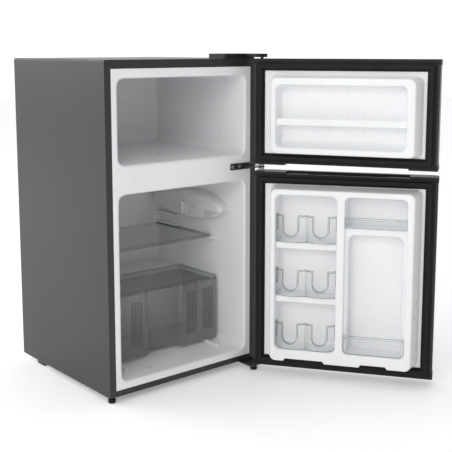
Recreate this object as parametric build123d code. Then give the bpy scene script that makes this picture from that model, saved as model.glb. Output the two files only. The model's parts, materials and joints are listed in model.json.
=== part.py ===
from build123d import *
import os

# A two-door mini fridge: a freezer compartment over a larder compartment, each behind its own
# door, on one hinge line at the right. Millimetres, +Z up, the doors face -Y and hinge at +X.
# The origin is on the floor, under the centre of the steel cabinet. The doors are drawn shut
# and then swung to FREEZER_REST_ANGLE and FRIDGE_REST_ANGLE, their rest pose.

# ---- cabinet ------------------------------------------------------------------------------
WIDTH = 470.0              # over the painted side panels
DEPTH = 446.0              # front flange to rear panel, without the doors
CABINET_HEIGHT = 820.0     # steel cabinet alone
FOOT_HEIGHT = 16.0         # floor to the underside of the cabinet
SHEET = 0.8                # painted steel sheet
FOLD_RADIUS = 4.0          # outside radius where the wrap folds over the top
FRAME_SIDE = 18.0          # flange seen beside the liner
FRAME_TOP = 21.0
FRAME_BOTTOM = 15.0
TUCK = 8.0                 # how far the liner reaches behind the flange
SEAM = 0.2                 # clearance between sheet parts that lie side by side

# ---- liner and compartments ---------------------------------------------------------------
LINER = 2.0                # wall of the thermoformed liners
SIDE_WALL = 37.0           # outside of the cabinet to a compartment, at the front
TOP_WALL = 44.0
FLOOR_WALL = 33.0
BACK_WALL = 53.0
FREEZER_HEIGHT = 207.0
MULLION = 71.0             # face between the two compartments
WALL_LEAN = 7.0            # how far a compartment wall leans in by the back
FLOOR_LEAN = 4.0
CORNER = 20.0              # corners of the openings
BACK_RADIUS = 16.0
LIP_RADIUS = 7.0           # rounded front lip of each compartment
HUMP_DEPTH = 110.0         # step over the compressor, measured from the back of the larder
HUMP_HEIGHT = 182.0
HUMP_RADIUS = 10.0
BAY_WALL = 32.0            # foam between the larder and the compressor bay
RIB = 5.0                  # thickness of the shelf ribs
RIB_REACH = 11.0
KEEPER = 112.0             # larder back to the front of the ribs that hold a shelf down

# ---- shelves and crisper ------------------------------------------------------------------
GLASS = 4.0
SLIDE_GAP = 1.5            # side clearance of the sliding shelves and the drawer
REST_GAP = 0.3             # clearance under what slides
SHELF_FRONT = 135.0        # front of the cabinet back to the front edge of the shelf
SHELF_PLACE = 0.72         # height of the shelf between the crisper cover and the control box
COVER_FRONT = 109.0
DRAWER_FRONT = 102.0
DRAWER_WALL = 2.0
DRAWER_RECESS = 24.0       # middle of the drawer front, set back between two pods
POD_LEFT = 0.37            # share of the drawer's width that each pod takes
POD_RIGHT = 0.34
FLUTE = 3.0                # width of the upright flutes on the pods
FLUTE_PITCH = 9.0
GRIP_TAB = (42.0, 9.0, 11.0)   # drawer's finger grip: width, depth, height
TRIM = 8.0

# ---- doors --------------------------------------------------------------------------------
DOOR_THICKNESS = 46.0
SEAL_GAP = 12.0            # door to cabinet face, filled by the gasket
FREEZER_DOOR_HEIGHT = 273.0
DOOR_SPLIT = 18.7          # between the doors, where the middle hinge goes
FRIDGE_DOOR_LIFT = 3.4     # above the underside of the cabinet
DOOR_EDGE_RADIUS = 12.0
CAP_HEIGHT = 14.0
CAP_PROUD = 1.0            # the end caps stand out past the skin
CAP_WALL = 2.5
HEM = 8.0                  # skin folded in behind the foam's edge
MARGIN = 30.0              # edge of the door to the inside of the gasket
GASKET_EDGE = 6.0
GASKET_CLEARANCE = 0.6
HINGE_IN = 13.0            # hinge axis, in from the side of the cabinet
HINGE_BACK = 28.0          # hinge axis, out from the inside of the door
FREEZER_REST_ANGLE = 121.0
FRIDGE_REST_ANGLE = 125.0
FREEZER_DYKE = 40.0        # how far each door liner stands out
FRIDGE_DYKE = 58.0
DYKE_ROUND = 5.0
MOUTH_ROUND = 4.0
DYKE_CLEARANCE = 6.0       # above and below, in the opening
HINGE_SIDE_CLEARANCE = 7.0
HINGE_SIDE_LEAN = 12.0
FREE_SIDE_LEAN = 16.0      # the free side leans most, to swing past the cabinet
END_LEAN = 4.0
GRIP_DEPTH = 5.0
GRIP_BACK = 30.0           # how deep the finger grip cuts into the thickness of the door
GRIP_ENDS = (70.0, 83.0)   # door's sides to the grip, free side and hinge side
SCOOP_ENDS = (125.0, 140.0)    # and to the deeper scoop in its middle
PIN_RADIUS = 4.0
PIN_CLEARANCE = 0.1
BUSH_RADIUS = 7.0

# ---- control box --------------------------------------------------------------------------
BOX_HALF_LENGTH = 163.0
BOX_HALF_HEIGHT = 43.0
BOX_DROP = 87.0            # larder ceiling to the middle of the control box
BOX_REACH = 35.0           # how far it stands out from the opening's side
BOX_SKIN = 2.2
KNOB_RADIUS = 19.0
KNOB_DROP = 12.0
KNOB_CLEARANCE = 0.8
WINDOW_BACK = 94.0         # middle of the box forward to the lamp's window
WINDOW_DROP = 6.0
BOX_SCREW = (-46.0, -2.0)  # the box's screw, from its middle
DIAL_MARKS = range(60, 121, 12)    # small dimples along the box's rear half
SPINDLE = 3.0
PLUNGER_RADIUS = 3.5
PLUNGER_CLEARANCE = 0.3

# ---- feet, hinges and screws --------------------------------------------------------------
FOOT_RADIUS = 9.5
FOOT_PAD = 9.0             # height of a levelling foot's pad
FOOT_STEM = 4.0
STEM_CLEARANCE = 0.3
FOOT_IN = 13.0             # left foot, in from the cabinet's corner
REAR_FOOT_IN = 24.0
REAR_FOOT = (30.0, 44.0)   # width and length of a rear skid
HINGE_PLATE = 2.5
HINGE_EDGE = 8.0           # hinge plates reach this far round the pin
PIN_LENGTH = 11.0          # of a hinge pin inside the door
SCREW_RADIUS = 2.4
SCREW_HEAD = (4.5, 2.4)    # radius and height
WASHER_SLACK = 0.4
PLUG_RADIUS = 3.0
COVER_HEIGHT = 12.5        # plastic cap over the top hinge
COVER_WALL = 2.0
COVER_LENGTH = 104.0
COVER_DEPTH = 72.0

# ---- cooling unit -------------------------------------------------------------------------
PAN = 2.0
BASE_GAP = 2.0             # pan to the side panels
STUD_RADIUS = 3.0
GROMMET_RADIUS = 9.0
GROMMET_HEIGHT = 12.0
MOUNT_SPAN = (136.0, 76.0)   # between the compressor's studs
SHELL = (140.0, 108.0)     # compressor's outline
SHELL_HALF = 62.0          # height of each half of its shell
SHELL_LIP = 4.0            # welded flange
PIPE_RADIUS = 3.2
CAPILLARY = 1.6
TRAY = (136.0, 104.0, 20.0)
TRAY_WALL = 1.8
DRAIN_RADIUS = 6.0
DRAIN_BORE = 4.0
COIL_POCKET = 6.0
COIL_RADIUS = 2.4

# ---- door furniture -----------------------------------------------------------------------
FREEZER_LEDGE = 22.0       # below the freezer door's pocket
FREEZER_BROW = 14.0        # above it
FREEZER_JAMBS = (35.0, 32.0)   # opening's sides to the pocket, free side and hinge side
FREEZER_DYKE_LIFT = 7.0    # the freezer door's dyke sits this much higher at its foot
FREEZER_DYKE_RISE = 3.0    # and this much higher at its top
FREEZER_SCOOP = 24.0       # radius where the pocket's floor turns up into its back
FREEZER_RAIL_LIFT = 85.0
RAIL_HEIGHT = 17.0
STUD_ROWS = 50.0           # between the rows of studs on the freezer door's liner
COLUMN_JAMBS = (32.0, 31.0)    # opening's sides to the columns, free side and hinge side
DIVIDER = 20.0             # between the fridge door's two columns
DIVIDER_X = -1.0
LEDGE = 19.0
LEDGE_SETBACK = 13.0
LEDGE_BOTTOM = 38.0
DAIRY_HEIGHT = 78.0
BAY_JAMB = 9.0             # the bottle bay is this much narrower on each side
BAY_CORNER = 18.0          # rounded upper corners of the bottle bay
NOTCH = 14.0
NOTCH_INSETS = ((17.0, 17.0), (32.0, 35.0))   # columns' sides to the notches
RACK_HEIGHT = 70.0
RACK_BULGE = 13.0
RACK_WALL = 2.2
RACK_RIM = 3.0             # rounded rim round a rack's gaps
RACK_GAP = 18.0            # radius of the foot of each gap
RACK_GAP_FOOT = 17.0       # ledge to the foot of a gap
BOTTLE_RAIL = 48.0
DAIRY_RAIL = 26.0
FIT_GAP = 0.3              # racks and rails to the liner

# ---- places worked out from the sizes above -----------------------------------------------
SIDE = WIDTH / 2
FRONT = -DEPTH / 2
BACK = DEPTH / 2
BOTTOM = FOOT_HEIGHT
TOP = BOTTOM + CABINET_HEIGHT
OPENING = SIDE - SIDE_WALL
INNER_BACK = BACK - BACK_WALL
FREEZER_TOP = TOP - TOP_WALL
FREEZER_FLOOR = FREEZER_TOP - FREEZER_HEIGHT
LARDER_TOP = FREEZER_FLOOR - MULLION
LARDER_FLOOR = BOTTOM + FLOOR_WALL
HUMP_FRONT = INNER_BACK - HUMP_DEPTH
HUMP_TOP = LARDER_FLOOR + HUMP_HEIGHT
BAY_FRONT = HUMP_FRONT + BAY_WALL
BAY_TOP = HUMP_TOP - BAY_WALL
BOX_Z = LARDER_TOP - BOX_DROP
BOX_FACE = OPENING - BOX_REACH
COVER_Z = HUMP_TOP
SHELF_Z = COVER_Z + GLASS + SHELF_PLACE * (BOX_Z - BOX_HALF_HEIGHT - COVER_Z - GLASS)
DOOR_INNER = FRONT - SEAL_GAP
DOOR_OUTER = DOOR_INNER - DOOR_THICKNESS
HINGE_X = SIDE - HINGE_IN
HINGE_Y = DOOR_INNER - HINGE_BACK
FREEZER_DOOR = (TOP - FREEZER_DOOR_HEIGHT, TOP)
FRIDGE_DOOR = (BOTTOM + FRIDGE_DOOR_LIFT, FREEZER_DOOR[0] - DOOR_SPLIT)
SPLIT_Z = FREEZER_DOOR[0] - DOOR_SPLIT / 2
LEFT_FOOT = (-SIDE + FOOT_IN, FRONT + FOOT_IN)
RIGHT_FOOT = (HINGE_X - 22, HINGE_Y + 3)
TONGUE_TOP = TOP + 7.5
NOSE_Z = TOP + 3.5         # underside of the cap where it reaches over the door
TOP_SCREWS = (HINGE_X - 58, HINGE_X - 36)
MID_SCREWS = (HINGE_X - 68, HINGE_X - 44)
LOW_SCREWS = (HINGE_X - 30, HINGE_X - 6)
PLUG_X = (-OPENING + 7, -OPENING + 44)
PLUG_Z = SPLIT_Z - 6
RUNNER_X = OPENING - 48
RUNNER_TOP = LARDER_FLOOR + FLOOR_LEAN + 4
RUNNER_FRONT = DOOR_INNER + FRIDGE_DYKE + 6
DRAIN = (20.0, HUMP_FRONT + 62)
COMPRESSOR = (60.0, (BAY_FRONT + BACK) / 2)
SHELL_FOOT = BOTTOM + GROMMET_HEIGHT
SHELL_SEAM = SHELL_FOOT + 3 + SHELL_HALF
SHELL_TOP = SHELL_SEAM + SHELL_HALF
KNOB_Z = BOX_Z - KNOB_DROP
PLUNGER_X = BOX_FACE + 12
PLUNGER_TIP = DOOR_INNER + FRIDGE_DYKE + 1.2
LEDGE_FACE = DOOR_INNER + FRIDGE_DYKE - LEDGE_SETBACK
RACK_Y = LEDGE_FACE - 4

parts = {}


# ---- small shapes -------------------------------------------------------------------------
def block(x0, x1, y0, y1, z0, z1):
    """A box between two opposite corners."""
    return Pos((x0 + x1) / 2, (y0 + y1) / 2, (z0 + z1) / 2) * Box(x1 - x0, y1 - y0, z1 - z0)


def rod_z(x, y, z0, z1, radius):
    return Pos(x, y, (z0 + z1) / 2) * Cylinder(radius, z1 - z0)


def rod_x(x0, x1, y, z, radius):
    return Pos((x0 + x1) / 2, y, z) * Rot(0, 90, 0) * Cylinder(radius, x1 - x0)


def rod_y(x, y0, y1, z, radius):
    return Pos(x, (y0 + y1) / 2, z) * Rot(90, 0, 0) * Cylinder(radius, y1 - y0)


def upright(x0, x1, z0, z1, y, radius):
    """A rounded rectangle that stands in the plane y."""
    plane = Plane(((x0 + x1) / 2, y, (z0 + z1) / 2), x_dir=(1, 0, 0), z_dir=(0, -1, 0))
    return plane * RectangleRounded(x1 - x0, z1 - z0, radius)


def tapered(x0, x1, z0, z1, y0, y1, lean, radius):
    """A rounded block from plane y0 to y1. lean moves its left, right, low and high sides in."""
    left, right, low, high = lean
    near = upright(x0, x1, z0, z1, y0, radius)
    far = upright(x0 + left, x1 - right, z0 + low, z1 - high, y1, radius)
    return loft([near, far])


def edges_at(shape, y, x_limit=1e4, z_limits=(-1e4, 1e4)):
    """The edges that lie in the plane y, inside the limits."""
    found = []
    for edge in shape.edges():
        box = edge.bounding_box()
        flat = abs(box.min.Y - y) < 0.01 and abs(box.max.Y - y) < 0.01
        inside = abs(edge.center().X) < x_limit and z_limits[0] < edge.center().Z < z_limits[1]
        if flat and inside:
            found.append(edge)
    return found


def pipe(points, bend, radius):
    """A round tube along straight runs with rounded corners."""
    path = FilletPolyline(*points, radius=bend)
    return sweep(Plane(origin=path @ 0, z_dir=path % 0) * Circle(radius), path=path)


def ring(x, z0, z1, width, y0, y1, radius):
    """An upright rectangular ring of the given width, outer half-size x."""
    outer = upright(-x, x, z0, z1, y0, radius)
    inner = upright(-x + width, x - width, z0 + width, z1 - width, y0, max(radius - width, 1))
    return extrude(outer - inner, amount=y0 - y1)


# ---- steel cabinet ------------------------------------------------------------------------
def wrap_solid(inset):
    """The cabinet's outer block, shrunk by inset on the sides and top, with folded top edges."""
    solid = block(-SIDE + inset, SIDE - inset, FRONT, BACK, BOTTOM, TOP - inset)
    top_edges = solid.edges().filter_by(Axis.Y).group_by(Axis.Z)[-1]
    return fillet(top_edges, FOLD_RADIUS - inset)


def cabinet_wrap():
    shell = wrap_solid(0) - wrap_solid(SHEET)
    plate = wrap_solid(0) & block(-SIDE, SIDE, FRONT, FRONT + SHEET, BOTTOM, TOP)
    window = block(-SIDE + FRAME_SIDE, SIDE - FRAME_SIDE, FRONT, FRONT + SHEET, BOTTOM,
                   TOP - FRAME_TOP)
    return shell + (plate - window)


def rear_panel():
    """Flat sheet over the foam, its upper corners cut clear of the wrap's folds."""
    x = SIDE - SHEET - SEAM
    panel = block(-x, x, BACK - SHEET, BACK, BAY_TOP, TOP - SHEET - SEAM)
    panel -= [Pos(s * x, 0, TOP) * Box(12, 2 * BACK + 1, 12) for s in (-1, 1)]
    return panel


def base_plate():
    x = SIDE - SHEET
    floor = block(-x, x, FRONT + SHEET, BAY_FRONT, BOTTOM, BOTTOM + SHEET)
    lip_x = SIDE - FRAME_SIDE
    lip = block(-lip_x, lip_x, FRONT, FRONT + SHEET, BOTTOM, BOTTOM + FRAME_BOTTOM)
    stem_hole = rod_z(*LEFT_FOOT, BOTTOM - 1, BOTTOM + 2, FOOT_STEM + STEM_CLEARANCE)
    return floor + lip - stem_hole


def bay_plate():
    """The folded sheet that closes the foam off from the compressor bay."""
    x = SIDE - SHEET
    upright_wall = block(-x, x, BAY_FRONT, BAY_FRONT + SHEET, BOTTOM + SHEET, BAY_TOP)
    ceiling = block(-x, x, BAY_FRONT, BACK - SHEET, BAY_TOP - SHEET, BAY_TOP)
    return upright_wall + ceiling - drain_hole(DRAIN_RADIUS)


# ---- inner liner --------------------------------------------------------------------------
def compartment(floor, ceiling, grow):
    """One compartment's space, drafted towards the back, with every wall moved out by grow."""
    lean = (WALL_LEAN, WALL_LEAN, FLOOR_LEAN, FLOOR_LEAN)
    space = tapered(-OPENING - grow, OPENING + grow, floor - grow, ceiling + grow,
                    FRONT + grow, INNER_BACK + grow, lean, CORNER + grow)
    return fillet(edges_at(space, INNER_BACK + grow), BACK_RADIUS + grow)


def hump(grow):
    """What the compressor step takes out of the larder."""
    step = block(-SIDE, SIDE, HUMP_FRONT + grow, BACK, 0, HUMP_TOP - grow)
    edge = step.edges().filter_by(Axis.X).sort_by(lambda e: e.center().Y - e.center().Z)[0]
    return fillet(edge, HUMP_RADIUS - grow)


def hollow(grow):
    """Both compartments and all that is before the liner's face, moved out by grow."""
    face = FRONT + grow
    larder = compartment(LARDER_FLOOR, LARDER_TOP, grow) - hump(grow)
    freezer = compartment(FREEZER_FLOOR, FREEZER_TOP, grow)
    before = block(-WIDTH, WIDTH, 2 * FRONT, face, -WIDTH, 2 * TOP)
    space = before + larder + freezer
    rims = edges_at(space, face, SIDE, (BOTTOM, TOP))
    return fillet(rims, LIP_RADIUS - grow)


def side_ribs(y0, y1, z_top):
    """A pair of ribs that carry a shelf, one on each side wall."""
    reach = OPENING - WALL_LEAN - RIB_REACH
    pair = [block(min(s * reach, s * SIDE), max(s * reach, s * SIDE), y0, y1, z_top - RIB, z_top)
            for s in (-1, 1)]
    rounded = []
    for rib in pair:
        front = rib.edges().filter_by(Axis.X).group_by(Axis.Y)[0]
        rounded.append(fillet(front, RIB / 2 - 0.1))
    return rounded


def liner_ribs():
    """Shelf ribs, two pairs of retaining ribs, cover ribs and two floor runners."""
    shelf = side_ribs(FRONT + SHELF_FRONT - 18, INNER_BACK - 12, SHELF_Z - REST_GAP)
    keeper = side_ribs(INNER_BACK - KEEPER, INNER_BACK - 12, SHELF_Z + GLASS + RIB + 2)
    keeper += side_ribs(INNER_BACK - KEEPER, INNER_BACK - 12, BOX_Z - BOX_HALF_HEIGHT - 1)
    cover = side_ribs(FRONT + COVER_FRONT + 8, HUMP_FRONT + 6, COVER_Z - REST_GAP)
    runners = [block(x - 3, x + 3, RUNNER_FRONT, HUMP_FRONT + 1, LARDER_FLOOR - 5, RUNNER_TOP)
               for x in (-RUNNER_X, RUNNER_X)]
    return shelf + keeper + cover + runners


def inner_liner(space_out, space_in):
    face_x = SIDE - FRAME_SIDE - SEAM
    low, high = BOTTOM + FRAME_BOTTOM + SEAM, TOP - FRAME_TOP - SEAM
    body = block(-face_x, face_x, FRONT, BACK, low, high) & (space_out - space_in)
    rim = block(-face_x - TUCK, face_x + TUCK, FRONT + SHEET + SEAM, FRONT + LINER + 0.6,
                low - TUCK, high + TUCK)
    rim -= block(-face_x + 6, face_x - 6, FRONT, BACK, low + 6, high - 6)
    ribs = [rib & middle_of_wall for rib in liner_ribs()]
    body = body + rim + ribs
    body -= drain_hole(DRAIN_RADIUS)
    body -= [rod_y(x, FRONT - 1, FRONT + LINER + 1, PLUG_Z, PLUG_RADIUS) for x in PLUG_X]
    return body


def drain_hole(radius):
    return rod_z(*DRAIN, BAY_TOP - 8, HUMP_TOP + 1, radius)


def drain_tube():
    """Rubber spout that leads melt water down to the tray on the compressor."""
    spout = drain_hole(DRAIN_RADIUS) & block(-SIDE, SIDE, 0, BACK, 0, HUMP_TOP)
    return spout - drain_hole(DRAIN_BORE)


def mullion_plugs():
    """Caps in the hinge holes that the other hand of door would use."""
    plugs = []
    for x in PLUG_X:
        head = rod_y(x, FRONT - 1.6, FRONT, PLUG_Z, PLUG_RADIUS + 1.5)
        head = fillet(edges_at(head, FRONT - 1.6), 1.2)
        plugs.append(head + rod_y(x, FRONT - 0.5, FRONT + LINER, PLUG_Z, PLUG_RADIUS - 0.1))
    return plugs


# ---- foam and the sealed system -----------------------------------------------------------
def cabinet_foam(space_out):
    x = SIDE - SHEET
    rim_back = FRONT + LINER + 0.6
    foam = wrap_solid(SHEET) & block(-x, x, rim_back, BACK - SHEET, BOTTOM + SHEET, TOP)
    foam -= space_out
    foam -= block(-SIDE, SIDE, BAY_FRONT, BACK, 0, BAY_TOP)
    foam -= [coil_pocket(s) for s in (-1, 1)]
    foam -= evaporator_space()
    foam -= drain_hole(DRAIN_RADIUS)
    foam -= rod_z(*LEFT_FOOT, BOTTOM, BOTTOM + 20, FOOT_STEM + 2)
    return foam


def coil_pocket(side):
    """Shallow recess in the foam behind a side panel, where the condenser tube is taped."""
    outer, inner = side * (SIDE - SHEET), side * (SIDE - SHEET - COIL_POCKET)
    return block(min(outer, inner), max(outer, inner), FRONT + 45, BACK - 45, BAY_TOP + 30,
                 TOP - 35)


def condenser_coil(side):
    """Warm tube that runs up and down behind a side panel."""
    x = side * (SIDE - SHEET - COIL_POCKET / 2)
    low, high = BAY_TOP + 45, TOP - 50
    pitch = (DEPTH - 120) / 5
    points = []
    for run in range(6):
        y = FRONT + 60 + run * pitch
        ends = (low, high) if run % 2 == 0 else (high, low)
        points += [(x, y, ends[0]), (x, y, ends[1])]
    return pipe(points, 18, COIL_RADIUS)


def evaporator_space():
    """Room behind the freezer compartment for the aluminium cold plate."""
    y = INNER_BACK + LINER
    x = OPENING - WALL_LEAN - BACK_RADIUS - 12
    return block(-x, x, y, y + 1.5, FREEZER_FLOOR + 30, FREEZER_TOP - 30)


def compressor_base():
    """Steel pan under the bay, with an upturned back edge, four studs and four bolt heads."""
    x = SIDE - BASE_GAP
    y0, y1 = BAY_FRONT - 6, BACK - BASE_GAP
    pan = block(-x, x, y0, y1, BOTTOM - PAN, BOTTOM)
    inner_x = x - SHEET
    pan += block(-inner_x, inner_x, y1 - PAN, y1, BOTTOM, BOTTOM + 14)
    pan += [rod_z(*place, BOTTOM - 1, SHELL_FOOT + 6, STUD_RADIUS) for place in mount_points()]
    bolts = []
    for side in (-1, 1):
        for y in (y0 + 14, y1 - 14):
            bolts.append(rod_z(side * (SIDE - 22), y, BOTTOM - PAN - 6, BOTTOM - PAN, 6.5))
    return pan + bolts


def mount_points():
    x, y = COMPRESSOR
    half_x, half_y = MOUNT_SPAN[0] / 2, MOUNT_SPAN[1] / 2
    return [(x + i * half_x, y + j * half_y) for i in (-1, 1) for j in (-1, 1)]


def grommets():
    rings = []
    for place in mount_points():
        ring_solid = rod_z(*place, BOTTOM, SHELL_FOOT, GROMMET_RADIUS)
        rings.append(ring_solid - rod_z(*place, BOTTOM, SHELL_FOOT, STUD_RADIUS + SEAM))
    return rings


def shell_slice(z, height, grow=0.0):
    """A slice of the compressor's oval outline."""
    plane = Plane((*COMPRESSOR, z))
    return extrude(plane * SlotOverall(SHELL[0] + grow, SHELL[1] + grow), amount=height)


def compressor():
    """Two deep-drawn half shells with a welded flange, on a foot plate over the grommets."""
    base = shell_slice(SHELL_SEAM - SHELL_HALF, SHELL_HALF)
    base = fillet(base.edges().group_by(Axis.Z)[0], 22)
    cap = shell_slice(SHELL_SEAM, SHELL_HALF)
    cap = fillet(cap.edges().group_by(Axis.Z)[-1], 30)
    flange = shell_slice(SHELL_SEAM - SHELL_LIP / 2, SHELL_LIP, 2 * SHELL_LIP)
    sole = Plane((*COMPRESSOR, SHELL_FOOT)) * RectangleRounded(MOUNT_SPAN[0] + 28,
                                                               MOUNT_SPAN[1] + 24, 12)
    foot = extrude(sole, amount=3.5)
    foot -= [rod_z(*place, SHELL_FOOT - 1, SHELL_FOOT + 5, STUD_RADIUS + SEAM)
             for place in mount_points()]
    return base + cap + flange + foot


def relay_cover(shell):
    """Plastic cover over the start relay and the terminals."""
    x, y = COMPRESSOR
    outer_x = x - SHELL[0] / 2 - 28
    cover = block(outer_x, outer_x + 40, y - 26, y + 28, SHELL_FOOT + 30, SHELL_FOOT + 92)
    cover = fillet(cover.edges().filter_by(Axis.Z), 5)
    return cover - shell


def mains_gland():
    """Inlet bush of the terminal cover, with the bore for a lead."""
    x, y, z = COMPRESSOR[0] - SHELL[0] / 2 - 10, COMPRESSOR[1] + 28, SHELL_FOOT + 48
    return rod_y(x, y, y + 10, z, 9) + rod_y(x, y + 10, y + 22, z, 7) - rod_y(x, y, y + 22, z, 4)


def drip_tray():
    """Open tray clipped to the top of the compressor; the warm shell dries it."""
    wide, deep, high = TRAY
    outer = extrude(Plane((*COMPRESSOR, SHELL_TOP)) * RectangleRounded(wide, deep, 14),
                    amount=high)
    space = RectangleRounded(wide - 2 * TRAY_WALL, deep - 2 * TRAY_WALL, 14 - TRAY_WALL)
    return outer - extrude(Plane((*COMPRESSOR, SHELL_TOP + TRAY_WALL)) * space, amount=high)


def drier():
    """Copper filter drier beside the compressor, between condenser and capillary."""
    x, y, z = COMPRESSOR[0] - 150, COMPRESSOR[1] - 20, SHELL_FOOT + 58
    body = fillet(rod_z(x, y, z, z + 80, 9).edges(), 4)
    inlet = rod_z(x, y, z + 78, BAY_TOP - SHEET, COIL_RADIUS)
    return body + inlet + rod_z(x, y, z - 14, z + 2, CAPILLARY)


def refrigerant_pipes():
    """Suction, discharge and process tubes of the compressor."""
    y, z = COMPRESSOR[1], SHELL_FOOT + 78
    side = COMPRESSOR[0] + SHELL[0] / 2 + SHELL_LIP + 0.5
    tubes = []
    for offset_y, reach, radius in ((-22, 30, PIPE_RADIUS), (20, 52, COIL_RADIUS)):
        turn_x = side + reach
        run = [(side, y + offset_y, z), (turn_x, y + offset_y, z),
               (turn_x, y + offset_y, BAY_TOP - SHEET)]
        tubes.append(pipe(run, 14, radius))
    stub = [(side, y, z - 30), (side + 22, y, z - 30), (side + 22, y, z)]
    return tubes + [pipe(stub, 9, PIPE_RADIUS)]


# ---- hinges and feet ----------------------------------------------------------------------
def top_hinge():
    """Cranked plate on the cabinet top that holds the freezer door's upper pin."""
    x1 = HINGE_X + HINGE_EDGE
    y0 = FRONT + 8
    foot = block(HINGE_X - 70, x1, y0, FRONT + 50, TOP, TOP + HINGE_PLATE)
    riser = block(HINGE_X - 22, x1, y0, y0 + HINGE_PLATE, TOP, TONGUE_TOP)
    tongue = block(HINGE_X - 16, x1, HINGE_Y - HINGE_EDGE, y0 + HINGE_PLATE,
                   TONGUE_TOP - HINGE_PLATE, TONGUE_TOP)
    tongue = fillet(tongue.edges().filter_by(Axis.Z).group_by(Axis.Y)[0], 7)
    pin = rod_z(HINGE_X, HINGE_Y, TOP - PIN_LENGTH, TONGUE_TOP - 1, PIN_RADIUS)
    holes = [rod_z(x, FRONT + 30, TOP, TOP + HINGE_PLATE, SCREW_RADIUS) for x in TOP_SCREWS]
    return foot + riser + tongue + pin - holes


def cover_block(x0, x1, y0, y1, z, corner, inset):
    """One rounded block of the hinge cover, shrunk by inset on its sides and top."""
    plane = Plane(((x0 + x1) / 2, (y0 + y1) / 2, z))
    plan = plane * RectangleRounded(x1 - x0 - 2 * inset, y1 - y0 - 2 * inset, corner - inset)
    return extrude(plan, amount=TOP + COVER_HEIGHT - inset - z)


def cover_solid(inset):
    """The hinge cover filled in: a deck on the cabinet and a nose over the door."""
    x1 = SIDE - 2
    middle = FRONT + 34
    deck = cover_block(x1 - COVER_LENGTH, x1, middle - COVER_DEPTH / 2, middle + COVER_DEPTH / 2,
                       TOP, 8, inset)
    nose = cover_block(HINGE_X - 26, x1, HINGE_Y - 14, middle, NOSE_Z, 10, inset)
    return deck + nose


def top_hinge_cover():
    """Moulded cap that hides the top hinge and its screws."""
    outer = cover_solid(0)
    outer = fillet(outer.edges().group_by(Axis.Z)[-1], 1.5)
    return outer - cover_solid(COVER_WALL)


def middle_hinge():
    """Plate on the mullion with a tongue between the doors and a pin up and down."""
    half, thin = 8.5, 1.5
    flat = block(HINGE_X - 75, SIDE - 8, FRONT - HINGE_PLATE, FRONT, SPLIT_Z - half,
                 SPLIT_Z + half)
    flat = fillet(flat.edges().filter_by(Axis.Y), 3)
    tongue = block(HINGE_X - 26, HINGE_X + HINGE_EDGE, HINGE_Y - HINGE_EDGE,
                   FRONT - HINGE_PLATE / 2, SPLIT_Z - thin, SPLIT_Z + thin)
    tongue = fillet(tongue.edges().filter_by(Axis.Z).group_by(Axis.Y)[0], 7)
    reach = DOOR_SPLIT / 2 + PIN_LENGTH
    pin = rod_z(HINGE_X, HINGE_Y, SPLIT_Z - reach, SPLIT_Z + reach, PIN_RADIUS)
    holes = [rod_y(x, FRONT - HINGE_PLATE, FRONT, SPLIT_Z, SCREW_RADIUS) for x in MID_SCREWS]
    return flat + tongue + pin - holes


def hinge_washers():
    """Nylon washers that carry the doors on the middle and bottom hinges."""
    levels = [(SPLIT_Z + 1.5, FREEZER_DOOR[0] - WASHER_SLACK),
              (FRIDGE_DOOR[1] + WASHER_SLACK, SPLIT_Z - 1.5),
              (BOTTOM, FRIDGE_DOOR[0] - WASHER_SLACK)]
    washers = []
    for z0, z1 in levels:
        bore = rod_z(HINGE_X, HINGE_Y, z0, z1, PIN_RADIUS + 0.05)
        washers.append(rod_z(HINGE_X, HINGE_Y, z0, z1, BUSH_RADIUS) - bore)
    return washers


def bottom_hinge():
    """Plate under the cabinet with the fridge door's lower pin and the right foot's thread."""
    plate = block(HINGE_X - 42, HINGE_X + 9, HINGE_Y - 10, FRONT + 42, BOTTOM - HINGE_PLATE,
                  BOTTOM)
    plate = fillet(plate.edges().filter_by(Axis.Z).group_by(Axis.Y)[0], 8)
    pin = rod_z(HINGE_X, HINGE_Y, BOTTOM - 1, FRIDGE_DOOR[0] + PIN_LENGTH, PIN_RADIUS)
    hole = rod_z(*RIGHT_FOOT, 0, BOTTOM, FOOT_STEM + SEAM)
    screw_holes = [rod_z(x, FRONT + 26, 0, BOTTOM, SCREW_RADIUS) for x in LOW_SCREWS]
    return plate + pin - hole - screw_holes


def screw(head_radius, head_height):
    """A pan-head screw pointing down from the origin, with a crossed recess."""
    head = fillet(Cylinder(head_radius, head_height).edges().group_by(Axis.Z)[-1], 0.9)
    cross = Pos(0, 0, head_height / 2) * (Box(4, 0.9, 1.4) + Box(0.9, 4, 1.4))
    shank = Pos(0, 0, -head_height / 2 - HINGE_PLATE / 2) * Cylinder(SCREW_RADIUS - 0.1, HINGE_PLATE)
    return Pos(0, 0, head_height / 2) * (head + shank - cross)


def hinge_screws():
    one = screw(*SCREW_HEAD)
    top = [Pos(x, FRONT + 30, TOP + HINGE_PLATE) * one for x in TOP_SCREWS]
    mid = [Pos(x, FRONT - HINGE_PLATE, SPLIT_Z) * Rot(90, 0, 0) * one for x in MID_SCREWS]
    low = [Pos(x, FRONT + 26, BOTTOM - HINGE_PLATE) * Rot(180, 0, 0) * one for x in LOW_SCREWS]
    return top + mid + low


def levelling_foot(x, y, top):
    """Knurled pad on a threaded stem."""
    pad = rod_z(x, y, 0, FOOT_PAD, FOOT_RADIUS)
    pad = fillet(pad.edges().group_by(Axis.Z)[0], 2)
    grooves = []
    for turn in range(12):
        groove = Pos(x, y, FOOT_PAD - 2.5) * Rot(0, 0, 30 * turn) * Pos(FOOT_RADIUS + 0.7, 0, 0)
        grooves.append(groove * Cylinder(1.6, 6))
    return pad - grooves + rod_z(x, y, FOOT_PAD - 1, top, FOOT_STEM)


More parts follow.
